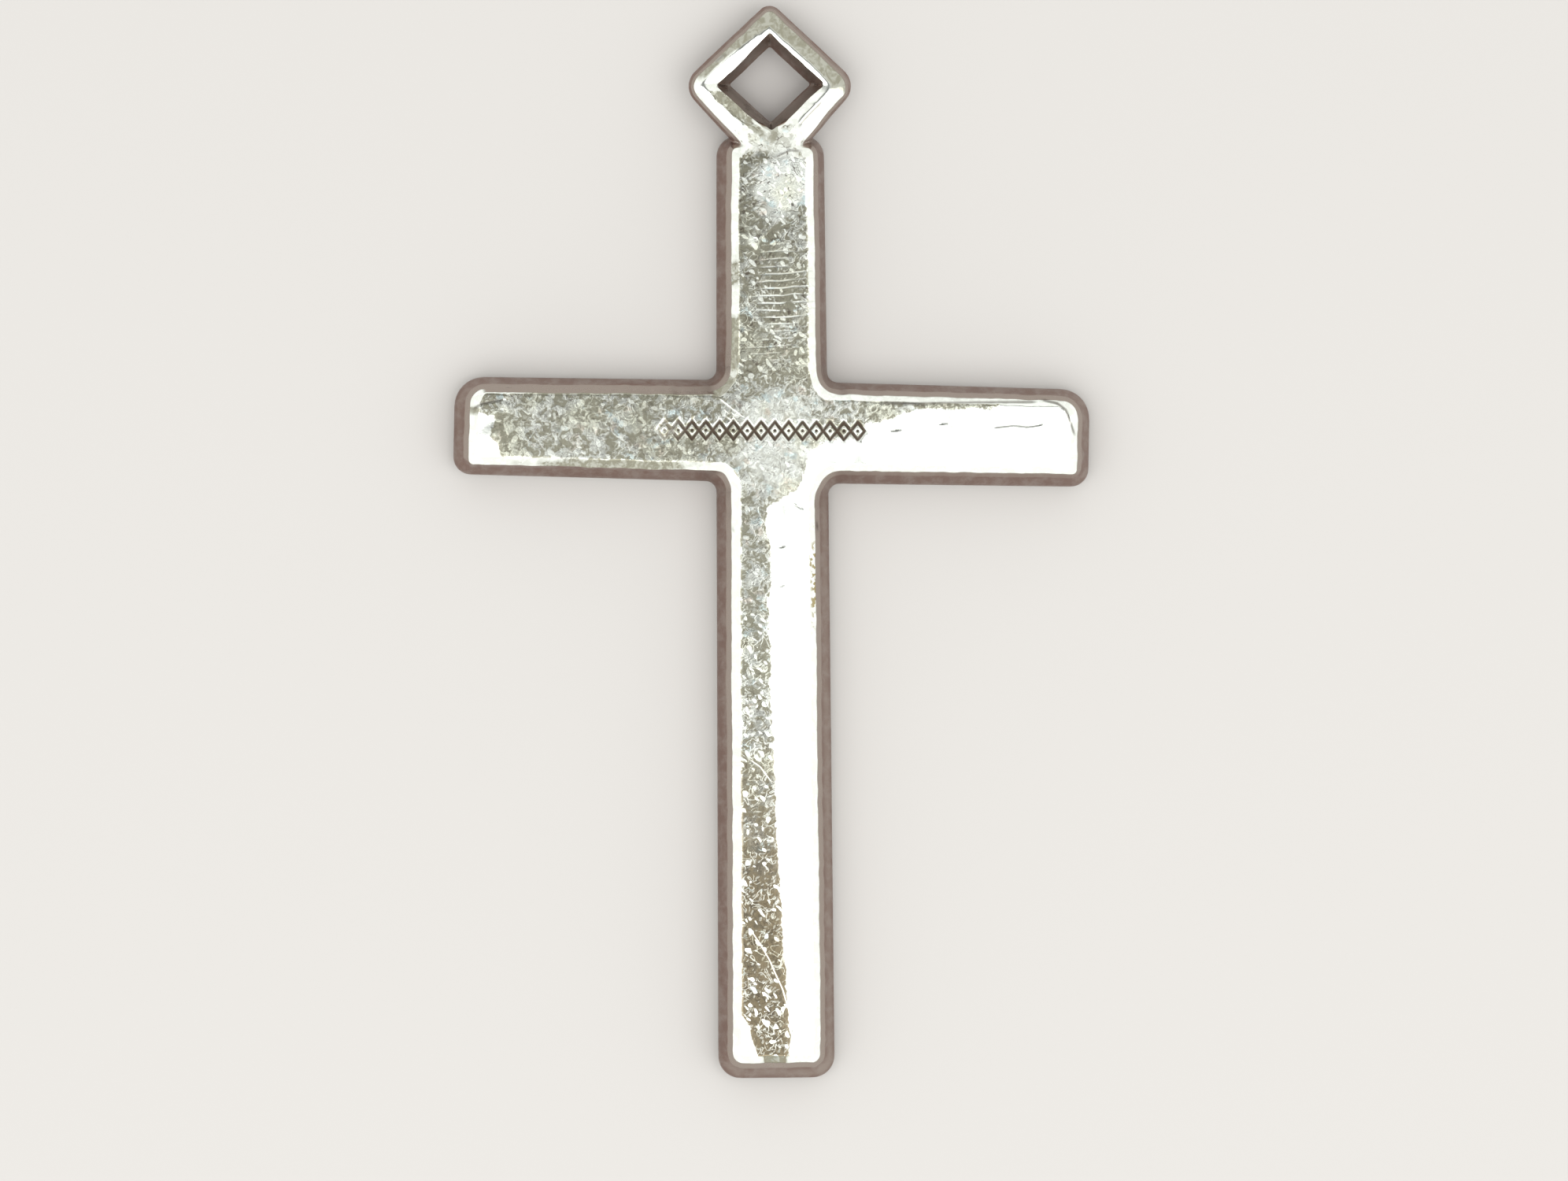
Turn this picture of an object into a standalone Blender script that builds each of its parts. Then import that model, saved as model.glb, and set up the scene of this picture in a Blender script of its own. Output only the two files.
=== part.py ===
"""Cross pendant: a plain cast silver cross with a diamond-shaped eye at its head.

It lies on its plain front face, with its bevelled back face up. +Y runs from the foot to the eye,
+X to the right arm as seen from above, and +Z out of the back face. The origin is the middle of
the outline, on the surface that the front face rests on.
"""

import math
from typing import NamedTuple

import bmesh
import bpy
from mathutils import Matrix, Vector

MM = 0.001

# Arms, from the crossing of their centre lines, at the widest level of the edge
HEAD_REACH = 9.9 * MM
FOOT_REACH = 21.57 * MM
ARM_REACH = 10.64 * MM
HEAD_END_WIDTH = 3.62 * MM
UPRIGHT_ROOT_WIDTH = 3.76 * MM
FOOT_END_WIDTH = 3.92 * MM
CROSSBAR_ROOT_WIDTH = 3.44 * MM
ARM_END_WIDTH = 3.28 * MM
CROSSBAR_LEAN = math.radians(1.45)

# Corners of the outline, at the widest level
HEAD_CORNER_RADIUS = 0.7 * MM
UPPER_CORNER_RADIUS = 1.0 * MM
LOWER_CORNER_RADIUS = 0.6 * MM
FOOT_CORNER_RADIUS = 0.75 * MM
INNER_CORNER_RADIUS = 0.35 * MM
LEAST_RADIUS = 0.08 * MM

# Edge of the cross, from the front face up to the back face
THICKNESS = 1.8 * MM
FRONT_ROUND_WIDTH = 0.42 * MM
FRONT_ROUND_HEIGHT = 0.5 * MM
WALL_DRAFT = 0.26 * MM
SHOULDER_WIDTH = 0.18 * MM
SHOULDER_HEIGHT = 0.26 * MM
BEVEL_WIDTH = 0.3 * MM
BEVEL_HEIGHT = 0.17 * MM

# Eye: a rod round a diamond-shaped hole, with a narrow crest and sloping sides
EYE_RISE = 1.71 * MM
HOLE_HALF_WIDTH = 1.745 * MM
HOLE_HALF_HEIGHT = 1.635 * MM
HOLE_CORNER_RADIUS = 0.2 * MM
ROD_WIDTH = 0.86 * MM
ROD_THICKNESS = 1.32 * MM
ROD_OUTER_SLOPE = 0.44 * MM
ROD_INNER_SLOPE = 0.27 * MM
EYE_TOP_RADIUS = 0.45 * MM
EYE_SIDE_RADIUS = 0.7 * MM
TAIL_SINK = 1.69 * MM

ARC_STEPS = 8
ROUND_STEPS = 5
SMOOTH_ANGLE = math.radians(25)

SILVER_COLOUR = (0.72, 0.71, 0.66, 1.0)
SILVER_ROUGHNESS = 0.22


class Corner(NamedTuple):
    """A corner of an outline before it is rounded."""

    point: Vector
    radius: float


class Step(NamedTuple):
    """A level of an edge: how far in from the outline it lies, and how high."""

    inset: float
    height: float


def clear_scene():
    for obj in list(bpy.data.objects):
        bpy.data.objects.remove(obj, do_unlink=True)


def silver_material():
    material = bpy.data.materials.new("sterling_silver")
    material.use_nodes = True
    shader = material.node_tree.nodes["Principled BSDF"]
    shader.inputs["Base Color"].default_value = SILVER_COLOUR
    shader.inputs["Metallic"].default_value = 1.0
    shader.inputs["Roughness"].default_value = SILVER_ROUGHNESS
    return material


def left_of(way):
    return Vector((-way.y, way.x))


def meeting_point(start_a, end_a, start_b, end_b):
    """Where the lines through two pairs of points cross."""
    way_a = end_a - start_a
    way_b = end_b - start_b
    along = (start_b - start_a).cross(way_b) / way_a.cross(way_b)
    return start_a + way_a * along


def arm_points(turn, reach, root_width, end_width):
    """The root and end points of an arm's right side, then of its left, looking out along it."""
    way = Vector((math.cos(turn), math.sin(turn)))
    left = left_of(way)
    end = way * reach
    return (
        -left * root_width / 2,
        end - left * end_width / 2,
        left * root_width / 2,
        end + left * end_width / 2,
    )


def cross_corners():
    """The corners of the cross, anticlockwise from the right arm's end."""
    quarter = math.pi / 2
    arms = (
        arm_points(-CROSSBAR_LEAN, ARM_REACH, CROSSBAR_ROOT_WIDTH, ARM_END_WIDTH),
        arm_points(quarter, HEAD_REACH, UPRIGHT_ROOT_WIDTH, HEAD_END_WIDTH),
        arm_points(2 * quarter - CROSSBAR_LEAN, ARM_REACH, CROSSBAR_ROOT_WIDTH, ARM_END_WIDTH),
        arm_points(3 * quarter, FOOT_REACH, UPRIGHT_ROOT_WIDTH, FOOT_END_WIDTH),
    )
    end_radii = (
        (LOWER_CORNER_RADIUS, UPPER_CORNER_RADIUS),
        (HEAD_CORNER_RADIUS, HEAD_CORNER_RADIUS),
        (UPPER_CORNER_RADIUS, LOWER_CORNER_RADIUS),
        (FOOT_CORNER_RADIUS, FOOT_CORNER_RADIUS),
    )
    corners = []
    for index, (right_radius, left_radius) in enumerate(end_radii):
        right_root, right_end, left_root, left_end = arms[index]
        next_root, next_end = arms[(index + 1) % len(arms)][:2]
        inner = meeting_point(left_root, left_end, next_root, next_end)
        corners.append(Corner(right_end, right_radius))
        corners.append(Corner(left_end, left_radius))
        corners.append(Corner(inner, INNER_CORNER_RADIUS))
    return corners


def diamond(top, half_width, bottom, top_radius, side_radius):
    """The corners of a diamond round the middle of the eye, anticlockwise from its right corner."""
    middle = HEAD_REACH + EYE_RISE
    return [
        Corner(Vector((half_width, middle)), side_radius),
        Corner(Vector((0, middle + top)), top_radius),
        Corner(Vector((-half_width, middle)), side_radius),
        Corner(Vector((0, middle - bottom)), top_radius),
    ]


def rounded_outline(corners, inset):
    """The outline moved inwards by the inset, with each corner as an arc."""
    points = []
    for index, (here, radius) in enumerate(corners):
        before = corners[index - 1].point
        after = corners[(index + 1) % len(corners)].point
        left_in = left_of((here - before).normalized())
        left_out = left_of((after - here).normalized())
        turn = math.atan2(left_in.cross(left_out), left_in.dot(left_out))
        side = math.copysign(1, turn)
        arc_radius = max(radius - side * inset, LEAST_RADIUS)
        inwards = (left_in + left_out) / (1 + left_in.dot(left_out))
        centre = here + inwards * (inset + side * arc_radius)
        for step in range(ARC_STEPS + 1):
            spoke = left_in * (-side * arc_radius)
            spoke.rotate(Matrix.Rotation(turn * step / ARC_STEPS, 2))
            points.append(centre + spoke)
    return points


def add_ring(mesh, corners, step):
    return [mesh.verts.new((*point, step.height)) for point in rounded_outline(corners, step.inset)]


def skin(mesh, lower, upper):
    """Walls from one ring up to the next, facing away from the middle."""
    for index in range(len(lower)):
        mesh.faces.new((lower[index - 1], lower[index], upper[index], upper[index - 1]))


def cross_edge():
    """Levels of the cross's edge, from the front face up to the back face."""
    steps = []
    for index in range(ROUND_STEPS + 1):
        turn = math.pi / 2 * index / ROUND_STEPS
        inset = FRONT_ROUND_WIDTH * (1 - math.sin(turn))
        height = FRONT_ROUND_HEIGHT * (1 - math.cos(turn))
        steps.append(Step(inset, height))
    shoulder_inset = WALL_DRAFT + SHOULDER_WIDTH
    bevel_foot = THICKNESS - BEVEL_HEIGHT
    steps.append(Step(WALL_DRAFT, bevel_foot - SHOULDER_HEIGHT))
    steps.append(Step(shoulder_inset, bevel_foot))
    steps.append(Step(shoulder_inset + BEVEL_WIDTH, THICKNESS))
    return steps


def cross_mesh():
    """The cross without its eye: rings of its outline, closed by the two flat faces."""
    mesh = bmesh.new()
    corners = cross_corners()
    rings = [add_ring(mesh, corners, step) for step in cross_edge()]
    for lower, upper in zip(rings, rings[1:]):
        skin(mesh, lower, upper)
    mesh.faces.new(reversed(rings[0]))
    mesh.faces.new(rings[-1])
    return mesh


def eye_mesh():
    """The eye: its outer and inner walls, joined round the crest and round the underside."""
    mesh = bmesh.new()
    side_angle = math.atan2(HOLE_HALF_HEIGHT, HOLE_HALF_WIDTH)
    outer_distance = HOLE_HALF_WIDTH * math.sin(side_angle) + ROD_WIDTH
    top = outer_distance / math.cos(side_angle)
    half_width = outer_distance / math.sin(side_angle)
    outer = diamond(top, half_width, EYE_RISE + TAIL_SINK, EYE_TOP_RADIUS, EYE_SIDE_RADIUS)
    hole = diamond(HOLE_HALF_HEIGHT, HOLE_HALF_WIDTH, HOLE_HALF_HEIGHT, LEAST_RADIUS, HOLE_CORNER_RADIUS)
    outer_rings = []
    hole_rings = []
    for index in range(-ROUND_STEPS, ROUND_STEPS + 1):
        turn = math.pi / 2 * index / ROUND_STEPS
        height = (THICKNESS + ROD_THICKNESS * math.sin(turn)) / 2
        fullness = math.cos(turn)
        outer_rings.append(add_ring(mesh, outer, Step(ROD_OUTER_SLOPE * (1 - fullness), height)))
        hole_rings.append(add_ring(mesh, hole, Step(ROD_INNER_SLOPE * fullness, height)))
    for index in range(2 * ROUND_STEPS):
        skin(mesh, outer_rings[index], outer_rings[index + 1])
        skin(mesh, hole_rings[index + 1], hole_rings[index])
    skin(mesh, outer_rings[-1], hole_rings[-1])
    skin(mesh, hole_rings[0], outer_rings[0])
    return mesh


def add_object(name, mesh):
    data = bpy.data.meshes.new(name)
    mesh.to_mesh(data)
    mesh.free()
    obj = bpy.data.objects.new(name, data)
    bpy.context.scene.collection.objects.link(obj)
    return obj


def fuse(body, tool):
    """Joins the tool into the body as one solid, and removes the tool."""
    union = body.modifiers.new("eye", "BOOLEAN")
    union.operation = "UNION"
    union.solver = "EXACT"
    union.object = tool
    evaluated = body.evaluated_get(bpy.context.evaluated_depsgraph_get())
    fused = bpy.data.meshes.new_from_object(evaluated)
    body.modifiers.remove(union)
    body.data = fused
    bpy.data.objects.remove(tool, do_unlink=True)


def centre_outline(data):
    """Moves the mesh so that the middle of its outline is over the origin."""
    across = [vertex.co.x for vertex in data.vertices]
    along = [vertex.co.y for vertex in data.vertices]
    middle = Vector((min(across) + max(across), min(along) + max(along), 0)) / 2
    data.transform(Matrix.Translation(-middle))


def main():
    clear_scene()
    cross = add_object("cross", cross_mesh())
    eye = add_object("eye", eye_mesh())
    fuse(cross, eye)
    centre_outline(cross.data)
    cross.data.name = "cross"
    cross.data.materials.append(silver_material())
    cross.data.shade_smooth()
    cross.data.set_sharp_from_angle(angle=SMOOTH_ANGLE)


main()
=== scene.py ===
"""Looks of a cast silver cross pendant: its finished surface, a pale floor, soft light and a camera.

The file is laid out as a Blender add-on and is run as a script. Lengths are in millimetres while a
mesh is shaped, and the finished mesh is in metres. Places on the cross are measured from the
crossing of its arms: x to the right arm, y to the eye, and z up from the floor.
"""

import math
from typing import NamedTuple

import bmesh
import bpy
from bpy.props import FloatProperty, FloatVectorProperty, PointerProperty
from mathutils import Matrix, Vector, noise


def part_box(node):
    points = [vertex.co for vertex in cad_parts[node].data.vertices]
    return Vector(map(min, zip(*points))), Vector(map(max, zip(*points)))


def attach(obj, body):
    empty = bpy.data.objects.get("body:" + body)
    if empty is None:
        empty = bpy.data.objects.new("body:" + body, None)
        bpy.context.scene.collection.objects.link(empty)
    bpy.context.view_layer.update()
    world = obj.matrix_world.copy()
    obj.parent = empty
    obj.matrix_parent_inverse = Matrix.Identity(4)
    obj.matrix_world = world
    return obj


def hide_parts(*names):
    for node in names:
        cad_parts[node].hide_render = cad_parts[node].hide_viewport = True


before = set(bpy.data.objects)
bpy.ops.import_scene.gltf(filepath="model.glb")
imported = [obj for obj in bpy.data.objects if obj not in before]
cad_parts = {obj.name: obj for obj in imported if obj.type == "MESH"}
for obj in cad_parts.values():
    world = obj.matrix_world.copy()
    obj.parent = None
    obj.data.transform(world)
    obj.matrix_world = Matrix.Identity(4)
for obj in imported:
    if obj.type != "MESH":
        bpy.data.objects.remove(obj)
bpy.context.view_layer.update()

bl_info = {
    "name": "Cast silver cross pendant",
    "version": (1, 0, 0),
    "blender": (4, 5, 0),
    "location": "View3D > Sidebar > Pendant",
    "description": "Finishes a cast silver cross pendant and sets it in a plain studio",
    "category": "Object",
}

MM = 0.001
NODE = "cross"

# The cross, as the frame holds it
FOOT_REACH = 21.57
HEAD_REACH = 9.9
HALF_UPRIGHT = 1.88
HALF_CROSSBAR = 1.72
THICKNESS = 1.8
GIRTH_HEIGHT = 0.5
WALL_TOP = 1.37
BEVEL_FOOT = 1.63
DRAW_IN_ACROSS = 0.0067
DRAW_IN_ALONG = 0.0055
CROSSBAR_LEAN = math.radians(1.45)

# The finish: where the back starts, where the stain starts and is full, and what each vertex keeps
BACK_START = 1.3
STAIN_START = -8.0
STAIN_FULL = -16.0
VERTEX_VALUES = (
    "film", "polish", "wall", "recess", "beside_score", "score_depth", "score_dirt_and_shade", "pale", "filed",
    "specks",
)

# The eye: a diamond round a hole, with a ridge between the slopes inside and outside it, and its neck
EYE_MIDDLE = Vector((0, 11.61))
EYE_SHIFT = Vector((-0.05, -0.03))
HOLE_HALF_WIDTH = 1.745
HOLE_HALF_HEIGHT = 1.635
HOLE_INRADIUS = HOLE_HALF_WIDTH * HOLE_HALF_HEIGHT / math.hypot(HOLE_HALF_WIDTH, HOLE_HALF_HEIGHT)
HOLE_DEPTH = 0.27
EYE_CREST = 1.56
EYE_GIRTH = 0.9
EYE_TOP_FROM = 1.1
EYE_TOP_FINE = 0.75
RIM_CUT = 0.09
RIDGE_ROUND = 0.04
CORNER_SOFTNESS = 0.2
OUTER_SLOPE = 0.26
TOP_RIDGE = 0.19
NECK_START = 9.0
NECK_END = 10.7
NECK_SMOOTHINGS = 6

# The mesh: how near points and how level faces are merged, the heights at which the walls and the bevel
# are cut, the row inside a rim, which faces the grid cuts, and how much coarser it is underneath
MERGE_DISTANCE = 0.002
MERGE_ANGLE = math.radians(0.3)
WALL_CUTS = (0.8, 1.08, 1.3)
SHOULDER_CUTS = (1.43, 1.5, 1.58)
BEVEL_CUTS = (1.66, 1.715, 1.77)
RIM_ROW = 0.05
FLAT_FACE_AREA = 20
LONG_FACE = 1.4
UNDERSIDE_TOP = 0.001
UNDERSIDE_STEPS = 8
CORNER_REACH = 0.5

# The photograph: its size, its scale, and where the crossing lies in it
PHOTO_WIDTH = 1992
PHOTO_HEIGHT = 1500
PIXELS_PER_MM = 38.05
CROSSING_PIXEL = (980.8, 548.3)

# Row of punched lozenges on the back: its first one, its direction, the shape of one, how far round a
# lozenge's middle the mesh is fine, and how wide a stroke is at its bottom and at its edge
PUNCH_START = Vector((-3.66, 0.03))
PUNCH_TURN = math.radians(-0.6)
PUNCH_PITCH = 0.46
PUNCH_COUNT = 15
PUNCH_HALF_WIDTH = 0.23
PUNCH_HALF_HEIGHT = 0.29
PUNCH_REACH = Vector((0.35, 0.42))
STROKE_CORE = 0.03
STROKE_EDGE = 0.07


class BevelChange(NamedTuple):
    """How much wider than the solid's the finished bevel is, along each side and at some corners."""

    upright_upper_left: float = -0.06
    upright_upper_right: float = -0.06
    upright_lower_left: float = -0.01
    upright_lower_right: float = -0.06
    crossbar_left_top: float = -0.16
    crossbar_left_bottom: float = -0.15
    crossbar_right_top: float = -0.1
    crossbar_right_bottom: float = -0.12
    left_tip: float = 0.0
    right_tip: float = -0.04
    head_end: float = 0.06
    foot_end: float = -0.06
    outer_corner: float = 0.1
    upper_left_inner_corner: float = -0.12


BEVEL = BevelChange()

# The outer corners lie further out than the first of these, and the inner corners within the second
OUTER_CORNERS_FROM = 8
INNER_CORNERS_WITHIN = 4

# How much further out the bevel reaches under the crossbar, and how far the foot's right side leans in
LOWER_REACH_LEFT = 0.14
LOWER_REACH_RIGHT = 0.05
FOOT_RIGHT_LEAN = 0.1


class EyeSide(NamedTuple):
    """One side of the eye: how far outside the hole its ridge runs, and its fall into the hole."""

    ridge: float
    inner_slope: float


EYE_UPPER_LEFT = EyeSide(0.5, 0.24)
EYE_UPPER_RIGHT = EyeSide(0.26, 0.26)
EYE_LOWER_LEFT = EyeSide(0.42, 0.22)
EYE_LOWER_RIGHT = EyeSide(0.36, 0.26)


class Facet(NamedTuple):
    """A part of the back that was filed slightly lower: its edge in the photograph, with the facet
    on the left when going along it, how steeply it falls, and how wide the fall is."""

    edge: tuple
    slope: float
    width: float


FACETS = (
    Facet(
        (
            (1380, 506), (1280, 511), (1255, 518), (1162, 518), (1130, 529), (1096, 538), (1090, 553),
            (1040, 562), (1022, 574), (1017, 600), (1006, 619), (988, 631), (970, 643), (965, 665),
            (970, 700), (973, 735), (968, 765), (969, 860), (973, 950), (976, 1050), (983, 1190),
            (991, 1300), (990, 1400),
        ),
        0.03, 1.8,
    ),
    Facet(
        (
            (646, 600), (641, 582), (636, 572), (631, 560), (625, 553), (627, 544), (634, 527),
            (612, 520), (585, 519),
        ),
        0.05, 1.0,
    ),
    Facet(((962, 1358), (959, 1340), (952, 1318), (946, 1300), (937, 1284), (890, 1262)), 0.05, 0.6),
)


class Score(NamedTuple):
    """A scratch that stands out, as a bent line in the photograph, and how much dirt is in it; in one line
    the dark is painted shadow.
    """

    line: tuple
    dirt: float


SCORES = (
    Score(((944, 1176), (959, 1199), (970, 1218), (978, 1237), (986, 1254), (994, 1281), (998, 1310)), 0.0),
    Score(((943, 962), (960, 974), (976, 996)), 0.0),
    Score(((908, 506), (944, 534)), 0.2),
    Score(((916, 528), (936, 543)), 0.2),
    Score(((982, 696), (996, 695)), 0.7),
    Score(((981, 747), (993, 744)), 0.7),
    Score(((1256, 546), (1284, 543), (1302, 545), (1324, 542)), 0.5),
    Score(((1124, 549), (1143, 549)), 0.6),
    Score(((1186, 541), (1201, 541)), 0.6),
    Score(((1318, 510), (1340, 515), (1351, 524), (1357, 540), (1364, 560)), 1.0),
    Score(((1034, 660), (1036, 678)), 1.0),
    Score(((925, 668), (930, 678)), 1.0),
    Score(((1049, 127), (1022, 154.5), (1013, 166)), 1.0),
    Score(((906, 83), (926, 68)), 0.8),
    # Painted shadow: the dark line under the bright bevel at the left tip's upper corner.
    Score(((596, 522), (610, 513), (640, 507)), 0.9),
    Score(((1002, 640), (1018, 650)), 0.4),
    # A dark line just inside the bright bevel along the right arm's top.
    Score(((1112, 514), (1161, 515), (1230, 514), (1318, 513)), 0.85),
    # A dark line just inside the bright bevel at the head end.
    Score(((981, 205), (992, 199), (1003, 194), (1021, 194)), 0.8),
)

# How wide clean and dirty scratches are, how far beside one its place is kept, and the bumps' heights
SCORE_WIDTH = 0.035
DIRTY_SCORE_WIDTH = 0.085
SCORE_REACH = 0.16
SCORE_DEPTH = 0.006
SCRATCH_DEPTH = 0.0003
SKIN_HEIGHT = 0.005
FLECK_HEIGHT = 0.0015


class Patch(NamedTuple):
    """A part of the back that looks different: its middle and its reach in the photograph."""

    middle: tuple
    reach: tuple
    strength: float


# Painted sheen: bright reflections on the back, drawn by leaving the tarnish off.
PAINTED_SHEEN_PATCHES = (
    Patch((996, 236), (40, 46), 1.0),
    Patch((1062, 576), (30, 20), 1.0),
    Patch((980, 181), (46, 20), 0.55),
    Patch((985, 565), (56, 74), 0.52),
    Patch((957, 310), (9, 9), 1.0),
)
FILED_PATCHES = (
    Patch((992, 372), (38, 58), 1.0),
    Patch((970, 445), (26, 16), 0.5),
)
SPECKED_PATCHES = (
    Patch((1031, 735), (6, 62), 1.0),
)
PATCHES = {"pale": PAINTED_SHEEN_PATCHES, "filed": FILED_PATCHES, "specks": SPECKED_PATCHES}
# Bevels that the film dims: duller stretches, and at the left tip's corner (602, 521) a painted shadow
# under the bright bevel.
DULL_AND_SHADED_BEVEL_PATCHES = (
    Patch((925, 500), (30, 26), 1.0),
    Patch((800, 497), (145, 12), 0.9),
    Patch((602, 521), (9, 6), 1.0),
    Patch((976, 1344), (15, 13), 1.0),
    Patch((931, 440), (16, 40), 0.9),
    Patch((932, 350), (12, 22), 0.6),
    Patch((770, 592), (115, 12), 0.75),
)


def crossing():
    """Where the centre lines of the arms cross, in millimetres in the frame."""
    lowest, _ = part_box(NODE)
    return Vector((0, lowest.y / MM + FOOT_REACH, 0))


def smooth_step(low, high, value):
    """0 below low, 1 above high, and a smooth rise between them."""
    share = min(max((value - low) / (high - low), 0), 1)
    return share * share * (3 - 2 * share)


def colour_property(name, description, default):
    """A colour that the user can change."""
    return FloatVectorProperty(
        name=name, description=description, default=default, subtype="COLOR", min=0, max=1
    )


class PendantFinish(bpy.types.PropertyGroup):
    """How the silver is shaped and finished."""

    grid: FloatProperty(
        name="Grid", description="Spacing of the mesh before it is subdivided",
        default=0.00022, min=0.0001, precision=5, unit="LENGTH",
    )
    crown: FloatProperty(
        name="Crown", description="How far the back face falls from its middle to its edge",
        default=0.000008, precision=6, unit="LENGTH",
    )
    wave: FloatProperty(
        name="Waves", description="Depth of the slow waves that polishing left",
        default=0.0000025, precision=6, unit="LENGTH",
    )
    punch_depth: FloatProperty(
        name="Punch depth", description="Depth of the small punches on the back",
        default=0.00006, precision=6, unit="LENGTH",
    )
    silver: colour_property("Silver", "Colour of the polished silver", (0.84, 0.88, 0.83))
    film: colour_property("Film", "Colour of the silver under a thin yellowish film", (0.85, 0.87, 0.7))
    blush: colour_property(
        "Blush", "Colour of the small spots where the tarnish is reddish", (0.72, 0.58, 0.46)
    )
    cool: colour_property(
        "Cool spots", "Colour of the small spots where the tarnish is bluish", (0.66, 0.82, 0.84)
    )
    # The tarnish colour also paints shade, on the eye's upper outer slopes, on some bevels and over the
    # upright above the crossbar.
    tarnish: colour_property("Tarnish", "Colour of the thin tarnish on the face", (0.27, 0.265, 0.205))
    stain: colour_property(
        "Stain", "Colour of the brown stain on the lower part of the upright", (0.22, 0.18, 0.115)
    )
    speck: colour_property(
        "Specks", "Colour of the yellowish specks along the right edge", (0.34, 0.29, 0.16)
    )
    # Painted light: the shoulders' beige is a lighter band at the top of the painted wall shade.
    painted_shoulder_light: colour_property(
        "Shoulders", "Colour of the upper edges of the side walls", (0.4, 0.345, 0.305)
    )
    # Painted shade: the walls' dark brown stands for a dark floor's reflection in them.
    wall: colour_property("Walls", "Colour of the dull side walls", (0.22, 0.135, 0.107))
    recess: colour_property("Recesses", "Colour of the dirt in the punches", (0.08, 0.06, 0.045))


class PendantStudio(bpy.types.PropertyGroup):
    """The floor, the light and the camera."""

    floor: colour_property("Floor", "Colour of the plain floor", (0.47, 0.46, 0.445))
    floor_size: FloatProperty(
        name="Floor size", description="Length of the floor's sides",
        default=1.2, unit="LENGTH",
    )
    key_power: FloatProperty(
        name="Key light", description="Power of the large panel over the lower right",
        default=0.5, unit="POWER",
    )
    fill_power: FloatProperty(
        name="Fill light", description="Power of the large panel over the lower left",
        default=0.5, unit="POWER",
    )
    tent: FloatProperty(
        name="Light tent", description="Brightness of the soft light all round",
        default=1.0, min=0,
    )
    focal_length: FloatProperty(
        name="Focal length", description="Focal length of the camera, in millimetres",
        default=200, min=10,
    )
    lean_left: FloatProperty(
        name="Lean to the left", description="How far the camera leans to the left of straight down",
        default=math.radians(3.5), subtype="ANGLE",
    )
    lean_down: FloatProperty(
        name="Lean to the foot", description="How far the camera leans to the foot of straight down",
        default=math.radians(1), subtype="ANGLE",
    )
    roll: FloatProperty(
        name="Roll", description="How far the camera is turned clockwise",
        default=math.radians(0.4), subtype="ANGLE",
    )


def merged_copy():
    """The solid's mesh in millimetres from the crossing, with whole flat faces."""
    mesh = bmesh.new()
    mesh.from_mesh(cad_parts[NODE].data)
    bmesh.ops.scale(mesh, vec=(1 / MM,) * 3, verts=mesh.verts)
    bmesh.ops.remove_doubles(mesh, verts=mesh.verts, dist=MERGE_DISTANCE)
    bmesh.ops.dissolve_limit(mesh, angle_limit=MERGE_ANGLE, verts=mesh.verts, edges=mesh.edges)
    bmesh.ops.translate(mesh, vec=-crossing(), verts=mesh.verts)
    return mesh


def bevel_change(place, outwards):
    """The change of the bevel's width at a place on the face's rim, from the sides that meet there."""
    right = outwards.x > 0
    upper = outwards.y > 0
    if abs(place.y) < HALF_CROSSBAR:
        across = BEVEL.right_tip if right else BEVEL.left_tip
    elif place.y > 0:
        across = BEVEL.upright_upper_right if right else BEVEL.upright_upper_left
    else:
        across = BEVEL.upright_lower_right if right else BEVEL.upright_lower_left
    if abs(place.x) < HALF_UPRIGHT:
        along = BEVEL.head_end if upper else BEVEL.foot_end
    elif place.x > 0:
        along = BEVEL.crossbar_right_top if upper else BEVEL.crossbar_right_bottom
    else:
        along = BEVEL.crossbar_left_top if upper else BEVEL.crossbar_left_bottom
    change = across * outwards.x**2 + along * outwards.y**2
    diagonal = (2 * outwards.x * outwards.y) ** 2
    if upper and abs(place.x) > OUTER_CORNERS_FROM:
        change += BEVEL.outer_corner * diagonal
    if upper and not right and place.length < INNER_CORNERS_WITHIN:
        change += BEVEL.upper_left_inner_corner * diagonal
    return change


def vary_bevel(mesh):
    """Moves the rim of the back face, so that the bevel is wide or narrow as it was filed, and lets
    the bevel reach further out under the crossbar."""
    face = max(mesh.faces, key=lambda one: one.calc_center_median().z * one.calc_area())
    rim = [loop.vert for loop in face.loops]
    moves = []
    for index, vert in enumerate(rim):
        after = rim[(index + 1) % len(rim)].co
        along = (after - vert.co).normalized() + (vert.co - rim[index - 1].co).normalized()
        outwards = Vector((along.y, -along.x, 0)).normalized()
        moves.append(outwards * -bevel_change(vert.co, outwards))
    for vert, move in zip(rim, moves):
        vert.co += move
    for vert in mesh.verts:
        place = vert.co
        if abs(place.z - BEVEL_FOOT) < 0.01 and -HALF_CROSSBAR - 0.3 < place.y < 0:
            reach = LOWER_REACH_RIGHT if place.x > 0 else LOWER_REACH_LEFT
            place.y -= reach * smooth_step(HALF_UPRIGHT - 0.3, HALF_UPRIGHT + 0.4, abs(place.x))


def cut_heights(mesh):
    """Cuts the walls and the bevel level, which gives rows of faces round the outline."""
    for height in WALL_CUTS + SHOULDER_CUTS + BEVEL_CUTS:
        bmesh.ops.bisect_plane(
            mesh,
            geom=mesh.verts[:] + mesh.edges[:] + mesh.faces[:],
            dist=1e-5,
            plane_co=(0, 0, height),
            plane_no=(0, 0, 1),
        )


def inset_flat_faces(mesh):
    """Puts a narrow row of faces inside the rims of the two flat faces, which keeps them crisp."""
    flat = [face for face in mesh.faces if face.calc_area() > FLAT_FACE_AREA]
    bmesh.ops.inset_region(
        mesh, faces=flat, thickness=RIM_ROW, use_boundary=True, use_even_offset=True
    )


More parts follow.
